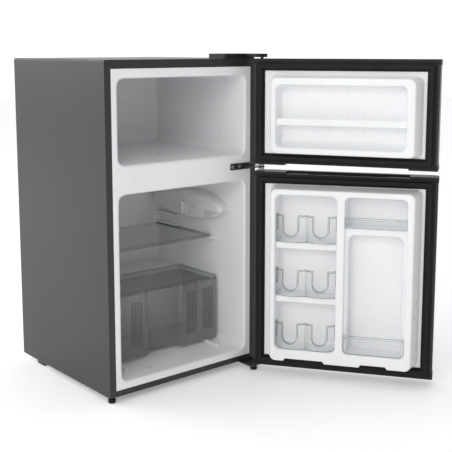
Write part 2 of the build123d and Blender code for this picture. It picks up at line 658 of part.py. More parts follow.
def rear_feet():
    """Moulded skids bolted under the pan."""
    feet = []
    wide, long = REAR_FOOT
    y = BAY_FRONT + 30
    for side in (-1, 1):
        x = side * (SIDE - REAR_FOOT_IN)
        foot = block(x - wide / 2, x + wide / 2, y, y + long, 0, BOTTOM - PAN)
        foot = fillet(foot.edges().filter_by(Axis.Z), 8)
        feet.append(fillet(foot.edges().group_by(Axis.Z)[0], 3))
    return feet


# ---- shelves, crisper and control box -----------------------------------------------------
def wall_x(y):
    """Half width between the compartment's side walls at depth y."""
    return OPENING - WALL_LEAN * (y - FRONT) / (INNER_BACK - FRONT)


def glass_shelf():
    back = INNER_BACK - 14
    x = wall_x(back) - SLIDE_GAP
    pane = block(-x, x, FRONT + SHELF_FRONT, back, SHELF_Z, SHELF_Z + GLASS)
    return fillet(pane.edges().filter_by(Axis.Z), 4)


def shelf_trim():
    """Clear edge strip on the front of the shelf."""
    x = wall_x(INNER_BACK) - RIB_REACH - 3
    y = FRONT + SHELF_FRONT
    strip = block(-x, x, y - 3, y + TRIM, SHELF_Z - 2.5, SHELF_Z + GLASS + 1.5)
    return fillet(strip.edges().filter_by(Axis.X).group_by(Axis.Y)[0], 1.6) - glass_shelf()


def crisper_cover():
    back = HUMP_FRONT - 1.5
    x = wall_x(back) - SLIDE_GAP - 2
    pane = block(-x, x, FRONT + COVER_FRONT, back, COVER_Z, COVER_Z + GLASS)
    return fillet(pane.edges().filter_by(Axis.Z), 4)


def drawer_sides():
    """Half width of the drawer and where its two pods end."""
    x = wall_x(HUMP_FRONT - 10) - SLIDE_GAP - 4
    return x, -x + 2 * x * POD_LEFT, x - 2 * x * POD_RIGHT


def drawer_outline(inset):
    """Plan of the drawer: two pods with the middle of the front set back between them."""
    back = HUMP_FRONT - 10
    x, left, right = drawer_sides()
    y = FRONT + DRAWER_FRONT
    face = y + DRAWER_RECESS
    corners = [(-x, back), (-x, y), (left, y), (left + 6, face), (right - 6, face), (right, y),
               (x, y), (x, back)]
    plan = make_face(Polyline(*corners, close=True))
    plan = fillet(plan.vertices(), 7)
    return offset(plan, -inset) if inset else plan


def crisper_drawer():
    """Smoky clear tub whose front stands a little higher than its sides."""
    low, high = RUNNER_TOP + REST_GAP, COVER_Z - RIB - 3
    front_top = COVER_Z - 1.5
    tub = extrude(Plane((0, 0, low)) * drawer_outline(0), amount=high - low)
    tub = fillet(tub.edges().group_by(Axis.Z)[0], 4)
    band = extrude(Plane((0, 0, high)) * drawer_outline(0), amount=front_top - high)
    band &= block(-SIDE, SIDE, FRONT, FRONT + COVER_FRONT + 6, low, TOP)
    space = extrude(Plane((0, 0, low + DRAWER_WALL)) * drawer_outline(DRAWER_WALL), amount=TOP)
    return tub + band - space + pod_ribs(low, high) + drawer_grip(front_top)


def drawer_grip(top):
    """Hollow finger tab on the face of the right-hand pod."""
    wide, deep, high = GRIP_TAB
    x = drawer_sides()[2] + 9
    y = FRONT + DRAWER_FRONT
    grip = block(x, x + wide, y - deep, y + 0.5, top - 1 - high, top - 1)
    grip = fillet(grip.edges().filter_by(Axis.X).group_by(Axis.Y)[0], 3)
    return grip - block(x + 3, x + wide - 3, y - deep + 2.5, y + 1, top - 2 - high, top - 4)


def pod_ribs(low, high):
    """Upright flutes on the face of each pod, in two groups of four."""
    y = FRONT + DRAWER_FRONT
    x, left, right = drawer_sides()
    ribs = []
    for start, end in ((-x, left), (right, x)):
        for first in (start + 22, end - 22 - 3 * FLUTE_PITCH):
            for step in range(4):
                middle = first + FLUTE_PITCH * step
                ribs.append(block(middle - FLUTE / 2, middle + FLUTE / 2, y - 1.2, y + 0.5,
                                  low + 34, high - 16))
    return ribs


def leaf(x, shrink):
    """Outline of the control box at a distance x from the middle of the cabinet."""
    plane = Plane((x, 0, BOX_Z), x_dir=(0, 1, 0), z_dir=(1, 0, 0))
    return plane * Ellipse(BOX_HALF_LENGTH - shrink, BOX_HALF_HEIGHT - shrink * 0.8)


def box_solid(inset):
    """The control box filled in: a flat-faced leaf that widens towards the wall."""
    levels = [(SIDE, 0), (BOX_FACE + 9, 4), (BOX_FACE + 2, 9), (BOX_FACE, 15)]
    solid = loft([leaf(x + (inset if x < SIDE else 0), lean + inset) for x, lean in levels],
                 ruled=True)
    return solid & larder_space


def box_window(clearance):
    """The lamp's window, which takes the lower half of the box's front tip."""
    return block(BOX_FACE - 5, BOX_FACE + 24, -BOX_HALF_LENGTH - 5, -WINDOW_BACK - clearance,
                 BOX_Z - BOX_HALF_HEIGHT, BOX_Z - WINDOW_DROP - clearance)


def control_box():
    shell = box_solid(0) - box_solid(BOX_SKIN)
    shell -= rod_x(BOX_FACE - 5, BOX_FACE + 8, 0, KNOB_Z, KNOB_RADIUS + KNOB_CLEARANCE)
    shell -= box_window(0)
    shell -= rod_y(PLUNGER_X, -BOX_HALF_LENGTH - 5, PLUNGER_TIP + 40, BOX_Z,
                   PLUNGER_RADIUS + PLUNGER_CLEARANCE)
    screw_y, screw_z = BOX_SCREW
    shell -= rod_x(BOX_FACE - 5, BOX_FACE + 3, screw_y, BOX_Z + screw_z, SPINDLE)
    shell -= [rod_x(BOX_FACE - 5, BOX_FACE + 5, y, BOX_Z + 18, 1.5) for y in DIAL_MARKS]
    return shell


def thermostat():
    """The switch body behind the knob, on the wall inside the control box."""
    return block(BOX_FACE + 11, BOX_FACE + 28, -16, 24, KNOB_Z - 14, KNOB_Z + 16)


def thermostat_knob():
    """Round dial with a finger bar across it and a short spindle behind."""
    disc = fillet(rod_x(BOX_FACE - 4, BOX_FACE + 6, 0, KNOB_Z, KNOB_RADIUS).edges(), 1.5)
    bar = KNOB_RADIUS - 3
    grip = block(BOX_FACE - 10, BOX_FACE - 3, -3.5, 3.5, KNOB_Z - bar, KNOB_Z + bar)
    grip = fillet(grip.edges().filter_by(Axis.Z), 2.5)
    return disc + grip + rod_x(BOX_FACE + 5, BOX_FACE + 10.5, 0, KNOB_Z, SPINDLE)


def lamp_lens():
    return (box_solid(0) - box_solid(BOX_SKIN)) & box_window(PLUNGER_CLEARANCE)


def lamp_bulb():
    """Small capsule lamp and its holder behind the lens."""
    x, z = BOX_FACE + 14, BOX_Z - 8
    y = -WINDOW_BACK - 10
    bulb = fillet(rod_y(x, y - 28, y, z, 6).edges().group_by(Axis.Y)[0], 4)
    return bulb + rod_y(x, y - 1, y + 12, z, 7.5)


def box_screw():
    screw_y, screw_z = BOX_SCREW
    return rod_x(BOX_FACE + 0.6, BOX_FACE + 16, screw_y, BOX_Z + screw_z, SPINDLE - SEAM)


def door_switch():
    """Plunger that the door liner presses, out of the control box's front tip."""
    rod = rod_y(PLUNGER_X, PLUNGER_TIP, PLUNGER_TIP + 40, BOX_Z, PLUNGER_RADIUS)
    return fillet(rod.edges().group_by(Axis.Y)[0], 1.5)


# ---- doors --------------------------------------------------------------------------------
def door_plan(inset, proud=0.0):
    """Plan of a door, front corners rounded, shrunk by inset on three sides."""
    x = SIDE + proud - inset
    y0, y1 = DOOR_OUTER - proud + inset, DOOR_INNER
    plan = make_face(Polyline((-x, y1), (-x, y0), (x, y0), (x, y1), close=True))
    return fillet(plan.vertices().group_by(Axis.Y)[0], DOOR_EDGE_RADIUS + proud - inset)


def door_skin(span):
    """Front sheet, folded round the sides and hemmed on the inside."""
    z0, z1 = span[0] + CAP_HEIGHT, span[1] - CAP_HEIGHT
    solid = extrude(Plane((0, 0, z0)) * door_plan(0), amount=z1 - z0)
    solid -= extrude(Plane((0, 0, z0)) * door_plan(SHEET), amount=z1 - z0)
    middle, half = SIDE - HEM / 2, HEM / 2
    hems = [block(s * middle - half, s * middle + half, DOOR_INNER - SHEET, DOOR_INNER, z0, z1)
            for s in (-1, 1)]
    return solid + hems


def grip_recess(z, grow):
    """Long shallow finger recess across a door's edge, open to the inside of the door."""
    return block(-SIDE + GRIP_ENDS[0] - grow, SIDE - GRIP_ENDS[1] + grow,
                 DOOR_INNER - GRIP_BACK - grow, DOOR_INNER + 1, z - GRIP_DEPTH - grow,
                 z + GRIP_DEPTH + grow)


def finger_pocket(z, away, grow):
    """Deeper scoop in the middle of the recess; away is +1 where it goes up into the cap."""
    deep = CAP_HEIGHT - CAP_WALL - 0.5 + grow
    return block(-SIDE + SCOOP_ENDS[0] - grow, SIDE - SCOOP_ENDS[1] + grow,
                 DOOR_INNER - GRIP_BACK + 6 - grow, DOOR_INNER - 8 + grow,
                 min(z, z + away * deep), max(z, z + away * deep))


def end_cap(z_edge, inward, grip):
    """Plastic cap that closes an end of the door. inward is +1 at the bottom, -1 at the top."""
    z_in = z_edge + inward * CAP_HEIGHT
    low, high = min(z_edge, z_in), max(z_edge, z_in)
    cap = extrude(Plane((0, 0, low)) * door_plan(0, CAP_PROUD), amount=high - low)
    edge_group = cap.edges().group_by(Axis.Z)[0 if inward > 0 else -1]
    front = [e for e in edge_group if e.bounding_box().max.Y < DOOR_INNER - 0.1]
    cap = fillet(front, 1.5)
    inner = extrude(Plane((0, 0, low)) * door_plan(CAP_WALL), amount=high - low)
    inner &= block(-SIDE, SIDE, DOOR_OUTER, DOOR_INNER - CAP_WALL, low, high)
    keep = block(-SIDE, SIDE, DOOR_OUTER, DOOR_INNER, z_edge - CAP_WALL, z_edge + CAP_WALL)
    inner = inner - keep - rod_z(HINGE_X, HINGE_Y, low, high, BUSH_RADIUS + 3)
    if grip:
        recess = grip_recess(z_edge, 0) + finger_pocket(z_edge, inward, 0)
        inner -= grip_recess(z_edge, CAP_WALL) + finger_pocket(z_edge, inward, CAP_WALL)
        cap -= recess
    return cap - inner - rod_z(HINGE_X, HINGE_Y, low, high, BUSH_RADIUS)


def bushes(span):
    """Nylon bushes for the hinge pins, one in each end cap."""
    rings = []
    for low in (span[0], span[1] - CAP_HEIGHT):
        rings.append(rod_z(HINGE_X, HINGE_Y, low, low + CAP_HEIGHT, BUSH_RADIUS)
                     - rod_z(HINGE_X, HINGE_Y, low, low + CAP_HEIGHT, PIN_RADIUS + PIN_CLEARANCE))
    return rings


def gasket(span):
    """Magnetic door seal: a flange on the door with a raised bulb towards the cabinet."""
    z0, z1 = span[0] + GASKET_EDGE, span[1] - GASKET_EDGE
    x = SIDE - GASKET_EDGE
    flange = ring(x, z0, z1, MARGIN - GASKET_EDGE, DOOR_INNER, DOOR_INNER + 3, 4)
    step = HINGE_IN - GASKET_EDGE
    crest = FRONT - GASKET_CLEARANCE
    bulb = ring(x - step, z0 + step, z1 - step, 12, DOOR_INNER + 2, crest, 5)
    bulb = fillet(edges_at(bulb, crest), 2.5)
    return flange + bulb


def dyke(floor, ceiling, height, inset):
    """The raised block of a door liner that fits inside a compartment's opening."""
    x0, x1 = -OPENING + inset, OPENING - HINGE_SIDE_CLEARANCE - inset
    z0, z1 = floor + DYKE_CLEARANCE - END_LEAN + inset, ceiling - DYKE_CLEARANCE + END_LEAN - inset
    lean = (FREE_SIDE_LEAN, HINGE_SIDE_LEAN, END_LEAN, END_LEAN)
    crest = DOOR_INNER + height - inset
    solid = tapered(x0, x1, z0, z1, DOOR_INNER - LINER, crest, lean, 16 - inset)
    return solid if inset else fillet(edges_at(solid, crest), DYKE_ROUND)


def pocket(x0, x1, z0, z1, depth_end, grow, radius=12.0, lean=3.0):
    """A compartment sunk into the dyke, wider at its mouth."""
    back = DOOR_INNER - grow
    mouth = -lean
    solid = tapered(x0 + lean - grow, x1 - lean + grow, z0 + lean - grow, z1 - lean + grow, back,
                    depth_end, (mouth, mouth, mouth, mouth), radius + grow)
    return fillet(edges_at(solid, back), 6.0 + grow)


def plate(span):
    """The flat sheet of a door liner, clipped under the gasket."""
    x = SIDE - HEM - SEAM
    return block(-x, x, DOOR_INNER - LINER, DOOR_INNER, span[0] + CAP_HEIGHT + SEAM,
                 span[1] - CAP_HEIGHT - SEAM)


def freezer_hollows(grow):
    """The one pocket of the freezer door; its floor curves up into its back."""
    crest = DOOR_INNER + FREEZER_DYKE
    z0 = FREEZER_FLOOR + DYKE_CLEARANCE + FREEZER_LEDGE
    z1 = FREEZER_TOP - DYKE_CLEARANCE - FREEZER_BROW
    free_jamb, hinge_jamb = FREEZER_JAMBS
    space = pocket(-OPENING + free_jamb, OPENING - hinge_jamb, z0, z1, crest + 1, grow, 14.0,
                   END_LEAN)
    return space - pocket_ramp(z0 + END_LEAN * (1 - FREEZER_SCOOP / FREEZER_DYKE), grow)


def pocket_ramp(base, grow):
    """The corner between a pocket's floor and back that the curved floor fills."""
    y, z = DOOR_INNER + FREEZER_SCOOP, base + FREEZER_SCOOP
    corner = block(-SIDE, SIDE, DOOR_INNER - grow - 1, y, base - grow - 6, z)
    return corner - rod_x(-SIDE - 1, SIDE + 1, y, z, FREEZER_SCOOP + grow)


def fridge_columns():
    """Inner limits of the hinge-side column and of the free-side column."""
    free_jamb, hinge_jamb = COLUMN_JAMBS
    return ((DIVIDER_X + DIVIDER / 2, OPENING - hinge_jamb),
            (-OPENING + free_jamb, DIVIDER_X - DIVIDER / 2))


def rack_levels():
    """Floor and ceiling of the three can pockets, bottom first."""
    low, high = LARDER_FLOOR + LEDGE_BOTTOM, LARDER_TOP - DYKE_CLEARANCE - 14
    room = (high - low - 2 * LEDGE) / 3
    return [(low + i * (room + LEDGE), low + i * (room + LEDGE) + room) for i in range(3)]


def column_space(column, grow):
    """The tall pocket of one column of the fridge door, from its lowest floor to its top."""
    levels = rack_levels()
    crest = DOOR_INNER + FRIDGE_DYKE
    return pocket(*column, levels[0][0], levels[-1][1], crest + 1, grow, 14.0)


def fridge_hollows(grow):
    return [column_space(column, grow) for column in fridge_columns()]


def ledges(inset):
    """The two ledges between the can pockets, or with an inset the space inside their sheet."""
    x0, x1 = fridge_columns()[0]
    bars = []
    for _, z in rack_levels()[:2]:
        bar = block(x0 - 1, x1 + 1, DOOR_INNER - LINER, LEDGE_FACE - inset, z + inset,
                    z + LEDGE - inset)
        bars.append(bar if inset else fillet(edges_at(bar, LEDGE_FACE), DYKE_ROUND))
    return bars


def bay_frame(inset):
    """The arch round the bottle bay, whose head is the floor of the dairy pocket."""
    left, right = fridge_columns()[1]
    low, dairy = rack_levels()[0][0], dairy_floor() - LEDGE
    frame = block(left - 6, right + 6, DOOR_INNER - LINER, LEDGE_FACE - inset, low - 1,
                  dairy + LEDGE - inset)
    arch = upright(left + BAY_JAMB - inset, right - BAY_JAMB + inset, low - 60, dairy + inset,
                   DOOR_INNER - inset, BAY_CORNER + inset)
    frame -= extrude(arch, amount=-FRIDGE_DYKE)
    return frame if inset else fillet(edges_at(frame, LEDGE_FACE), DYKE_ROUND)


def dairy_floor():
    """Height of the floor of the dairy pocket, over the bottle bay."""
    return rack_levels()[-1][1] - DAIRY_HEIGHT


def bottom_notches(grow):
    """Two cut-outs along the underside of the fridge door's lowest ledge."""
    z = LARDER_FLOOR
    notches = []
    for column, insets in zip(fridge_columns(), NOTCH_INSETS):
        x0, x1 = column[0] + insets[0], column[1] - insets[1]
        points = [(x0 - grow, z - 5), (x0 + 14 - grow, z + NOTCH + grow),
                  (x1 - 12 + grow, z + NOTCH + grow), (x1 + grow, z - 5)]
        face = Plane.XZ * make_face(Polyline(*points, close=True))
        notches.append(Pos(0, DOOR_INNER + 0.01, 0) * extrude(face, amount=-FRIDGE_DYKE - 2))
    return notches


def freezer_door_liner():
    floor, ceiling = FREEZER_FLOOR + FREEZER_DYKE_LIFT, FREEZER_TOP + FREEZER_DYKE_RISE
    crest = DOOR_INNER + FREEZER_DYKE
    solid = dyke(floor, ceiling, FREEZER_DYKE, 0) - freezer_hollows(0)
    core = dyke(floor, ceiling, FREEZER_DYKE, LINER) - freezer_hollows(LINER)
    solid = solid + plate(FREEZER_DOOR)
    solid = fillet(mouth_edges(solid, crest, floor + 15, ceiling - 15), MOUTH_ROUND)
    return solid - core + dimples(), core


def dimples():
    """Three rows of small raised studs on the back of the freezer door's pocket."""
    pitch = (2 * OPENING - 100) / 7
    z_mid = (FREEZER_FLOOR + FREEZER_TOP) / 2 + 15
    studs = []
    for row in (-1, 0, 1):
        for i in range(7):
            x = (i - 3) * pitch - 8
            ball = Pos(x, DOOR_INNER - 4, z_mid + row * STUD_ROWS) * Sphere(5.5)
            studs.append(ball & block(x - 6, x + 6, DOOR_INNER - 0.5, DOOR_INNER + 5, 0, TOP))
    return studs


def mouth_edges(solid, crest, low, high):
    """The rims of the pockets, without the outer edges of the dyke."""
    rims = edges_at(solid, crest, OPENING - 24, (low, high))
    return [e for e in rims if e.bounding_box().min.Z > low and e.bounding_box().max.Z < high]


def fridge_door_liner():
    crest = DOOR_INNER + FRIDGE_DYKE
    solid = dyke(LARDER_FLOOR, LARDER_TOP, FRIDGE_DYKE, 0) - bottom_notches(0)
    solid -= fridge_hollows(0)
    solid = fillet(mouth_edges(solid, crest, LARDER_FLOOR + 25, LARDER_TOP - 15), MOUTH_ROUND)
    solid = solid + plate(FRIDGE_DOOR) + ledges(0) + bay_frame(0)
    core = dyke(LARDER_FLOOR, LARDER_TOP, FRIDGE_DYKE, LINER) - bottom_notches(LINER)
    core = core - fridge_hollows(LINER) + ledges(LINER) + bay_frame(LINER)
    return solid - core, core


def door_foam(span, core):
    """Foam behind the skin and inside the liner's ridges."""
    z0, z1 = span[0] + CAP_HEIGHT, span[1] - CAP_HEIGHT
    slab = extrude(Plane((0, 0, z0)) * door_plan(SHEET), amount=z1 - z0)
    slab &= block(-SIDE, SIDE, DOOR_OUTER, DOOR_INNER - LINER, z0, z1)
    return slab + core


def freezer_rail():
    """White bar that keeps food in the freezer door."""
    crest = DOOR_INNER + FREEZER_DYKE
    z = FREEZER_FLOOR + FREEZER_RAIL_LIFT
    bar = block(-OPENING, OPENING, crest - 11, crest - 6, z, z + RAIL_HEIGHT)
    bar = fillet(bar.edges().filter_by(Axis.X), 2)
    return bar & freezer_hollows(-FIT_GAP)


def rack_wall(x0, x1, z0, z1, thickness):
    """A guard's wall seen from above: two shallow bulges that meet in the middle."""
    middle, quarter = (x0 + x1) / 2, (x1 - x0) / 4
    peak, meeting = RACK_Y + RACK_BULGE, (middle, RACK_Y + 2)
    arcs = [ThreePointArc((x0, RACK_Y), (x0 + quarter, peak), meeting),
            ThreePointArc(meeting, (x1 - quarter, peak), (x1, RACK_Y))]
    wall = Part()
    for arc in arcs:
        strip = offset(arc, thickness / 2, side=Side.BOTH)
        wall += extrude(Plane((0, 0, z0)) * make_face(strip), amount=z1 - z0)
    return wall


def rack_gaps(x0, x1, z, grow):
    """The U-shaped gap in front of each can, open at the top."""
    quarter, radius = (x1 - x0) / 4, RACK_GAP + grow
    foot = z + RACK_GAP_FOOT + RACK_GAP
    gaps = []
    for x in (x0 + quarter, x1 - quarter):
        gaps.append(block(x - radius, x + radius, RACK_Y - 8, RACK_Y + 20, foot,
                          z + RACK_HEIGHT + 5))
        gaps.append(rod_y(x, RACK_Y - 8, RACK_Y + 20, foot, radius))
    return gaps


def can_rack(z):
    """Clear guard for two cans, with a thicker rim round its gaps and along its top."""
    column = fridge_columns()[0]
    x0, x1 = column[0] + 1.5, column[1] - 1.5
    top = z + RACK_HEIGHT
    wall = rack_wall(x0, x1, z + FIT_GAP, top, RACK_WALL)
    rim = rack_wall(x0, x1, z + RACK_GAP_FOOT - 5, top, 2 * RACK_WALL)
    brim = block(x0, x1, RACK_Y - 8, RACK_Y + 20, top - RACK_RIM, top)
    rim &= Part() + rack_gaps(x0, x1, z, RACK_RIM) + brim
    hooks = [block(x - 1.4, x + 1.4, RACK_Y - 14, RACK_Y + 0.5, z + 30, top)
             for x in (x0 + 0.3, x1 - 0.3)]
    rack = wall + rim - rack_gaps(x0, x1, z, 0) + hooks
    return rack & column_space(column, -FIT_GAP)


def clear_rail(z, height):
    """Clear guard across the free-side column, thicker along its top edge."""
    column = fridge_columns()[1]
    x0, x1 = column
    y = DOOR_INNER + FRIDGE_DYKE - LEDGE_SETBACK / 2
    sheet = block(x0, x1, y - 1.2, y + 1.2, z, z + height)
    bead = block(x0, x1, y - 2.4, y + 2.4, z + height - 5, z + height)
    bead = fillet(bead.edges().filter_by(Axis.X), 1.5)
    return (sheet + bead) & column_space(column, -FIT_GAP)


def swung(shape, angle):
    """A shape of a closed door, carried to the door's rest angle."""
    return shape.rotate(Axis((HINGE_X, HINGE_Y, 0), (0, 0, 1)), angle)


def add_door(name, span, angle, liner_and_core, extras, grip_low):
    """Write down all the pieces of one door at its rest angle."""
    liner, core = liner_and_core
    pieces = {
        "skin": door_skin(span),
        "top_cap": end_cap(span[1], -1, not grip_low),
        "bottom_cap": end_cap(span[0], 1, grip_low),
        "foam": door_foam(span, core),
        "liner": liner,
        "gasket": gasket(span),
        "bushes": bushes(span),
    }
    pieces.update(extras)
    for piece, shape in pieces.items():
        solid = Part() + shape if isinstance(shape, list) else shape
        parts[f"{name}_{piece}"] = swung(solid, angle)


# ---- build --------------------------------------------------------------------------------
outside = hollow(LINER)
inside = hollow(0)
middle_of_wall = hollow(LINER / 2)
larder_space = compartment(LARDER_FLOOR, LARDER_TOP, 0)
compressor_shell = compressor()

parts["cabinet_wrap"] = cabinet_wrap()
parts["rear_panel"] = rear_panel()
parts["base_plate"] = base_plate()
parts["compressor_bay_plate"] = bay_plate()
parts["inner_liner"] = inner_liner(outside, inside)
parts["cabinet_foam"] = cabinet_foam(outside)
parts["evaporator_plate"] = evaporator_space()
parts["condenser_coil"] = [condenser_coil(-1), condenser_coil(1)]
parts["compressor_base"] = compressor_base()
parts["compressor_grommets"] = grommets()
parts["compressor"] = compressor_shell
parts["relay_cover"] = relay_cover(compressor_shell)
parts["mains_gland"] = mains_gland()
parts["filter_drier"] = drier()
parts["refrigerant_pipes"] = refrigerant_pipes()
parts["drip_tray"] = drip_tray()
parts["drain_tube"] = drain_tube()
parts["top_hinge"] = top_hinge()
parts["top_hinge_cover"] = top_hinge_cover()
parts["middle_hinge"] = middle_hinge()
parts["bottom_hinge"] = bottom_hinge()
parts["hinge_washers"] = hinge_washers()
parts["hinge_screws"] = hinge_screws()
parts["mullion_plugs"] = mullion_plugs()
parts["front_left_foot"] = levelling_foot(*LEFT_FOOT, BOTTOM + 16)
parts["front_right_foot"] = levelling_foot(*RIGHT_FOOT, BOTTOM + 1)
parts["rear_feet"] = rear_feet()
parts["glass_shelf"] = glass_shelf()
parts["glass_shelf_trim"] = shelf_trim()
parts["crisper_cover"] = crisper_cover()
parts["crisper_drawer"] = crisper_drawer()
parts["control_box"] = control_box()
parts["control_box_screw"] = box_screw()
parts["thermostat"] = thermostat()
parts["thermostat_knob"] = thermostat_knob()
parts["lamp_lens"] = lamp_lens()
parts["lamp_bulb"] = lamp_bulb()
parts["door_switch"] = door_switch()

add_door("freezer_door", FREEZER_DOOR, FREEZER_REST_ANGLE, freezer_door_liner(),
         {"rail": freezer_rail()}, grip_low=True)
racks = {f"can_rack_{n}": can_rack(z) for n, (z, _) in zip("abc", rack_levels())}
rails = {"bottle_rail": clear_rail(rack_levels()[0][0], BOTTLE_RAIL),
         "dairy_rail": clear_rail(dairy_floor(), DAIRY_RAIL)}
add_door("fridge_door", FRIDGE_DOOR, FRIDGE_REST_ANGLE, fridge_door_liner(),
         {**racks, **rails}, grip_low=False)

os.makedirs("parts", exist_ok=True)
for name, shape in parts.items():
    solid = Part() + shape if isinstance(shape, list) else shape
    export_step(solid, f"parts/{name}.step")
    print(name, len(solid.solids()), round(solid.volume))
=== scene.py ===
"""Looks of the two-door mini fridge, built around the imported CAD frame. Metres, +Z up, front towards -Y."""

import json
import math

import bmesh
import bpy
from mathutils import Matrix, Vector

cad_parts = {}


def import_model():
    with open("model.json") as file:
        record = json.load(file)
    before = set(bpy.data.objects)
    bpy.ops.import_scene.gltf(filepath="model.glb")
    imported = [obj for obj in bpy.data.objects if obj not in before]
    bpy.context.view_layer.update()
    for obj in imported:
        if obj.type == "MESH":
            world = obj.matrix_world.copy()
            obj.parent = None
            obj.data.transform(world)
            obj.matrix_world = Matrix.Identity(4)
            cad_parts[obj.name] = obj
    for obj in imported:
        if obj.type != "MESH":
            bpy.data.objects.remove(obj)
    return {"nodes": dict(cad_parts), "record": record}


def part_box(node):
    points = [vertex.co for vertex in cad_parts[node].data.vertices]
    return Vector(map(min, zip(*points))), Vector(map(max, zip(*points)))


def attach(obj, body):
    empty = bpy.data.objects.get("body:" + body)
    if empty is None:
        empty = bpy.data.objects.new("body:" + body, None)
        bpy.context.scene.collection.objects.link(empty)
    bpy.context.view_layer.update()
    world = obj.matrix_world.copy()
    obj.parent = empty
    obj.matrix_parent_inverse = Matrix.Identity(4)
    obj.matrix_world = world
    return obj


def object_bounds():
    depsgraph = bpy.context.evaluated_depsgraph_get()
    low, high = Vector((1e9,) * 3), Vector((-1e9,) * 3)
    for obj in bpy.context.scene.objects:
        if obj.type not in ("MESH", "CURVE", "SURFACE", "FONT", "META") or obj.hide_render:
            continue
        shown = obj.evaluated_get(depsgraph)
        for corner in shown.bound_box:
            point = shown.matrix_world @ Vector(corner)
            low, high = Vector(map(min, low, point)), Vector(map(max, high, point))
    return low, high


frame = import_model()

CAD_LOW, CAD_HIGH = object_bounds()
SCENE = bpy.context.scene
SLOT_OF = {s["node"]: s["material_slot"] for s in frame["record"]["subparts"]}
CABINET = "cabinet"  # the CAD body that stands still

FINE = 1e-4  # the smallest surface relief that shows
EDGE_WEAR = 0.0012  # how far from an edge enamel rubs bright
WAVES = 0.0008  # height of the liner's waviness
FLOW = 0.0004  # height of the flow marks in clear plastic
FOAM_CELL = 0.0006  # depth of a foam cell

SHARP = math.radians(50)  # faces that meet at more than this make an edge that shows
BEND = math.radians(40)  # an edge bead turns less than this at a point
NO_ANGLE = 9.0  # stands for the turn at an edge of no length, which ends the bead
WELD = 1e-5  # vertices closer than this are one
RACK_BEAD = 0.0004
RAIL_BEAD = 0.0003
DRAWER_BEAD = 0.0004
GLASS_BEAD = 0.0006

TICKS = 9
TICK_STEP = 30  # degrees between dial ticks
TICK_START = -30
TICK_GAP = 0.0045  # from the knob's rim to the middle of a tick
TICK_LONG, TICK_SHORT = 0.0045, 0.003
TICK_HEIGHT, TICK_WIDTH = 0.0008, 0.001
POINTER_DROP = 0.0085  # from the knob's top to the middle of its pointer
POINTER_SINK = 0.0002
POINTER = (0.0006, 0.0014, 0.009)

STUD_INSET = 0.009  # from the grommets' box to a stud
STUD_LIFT = 0.0035  # from the grommets' top to the underside of a washer
WASHER = (0.0072, 0.0072, 0.001)
NUT = (0.0052, 0.0052, 0.003)
NUT_MIDDLE = 0.0026  # height of the nut's middle over the washer's underside
CLIP_WIRE = 0.0016

DRAIN_LIP = 0.0012  # radius of the drain lip's section
DRAIN_REACH = 0.0018  # from the drain tube's outside to the middle of the lip
DRAIN_LIFT = 0.0003


# ---------------------------------------------------------------- node helpers

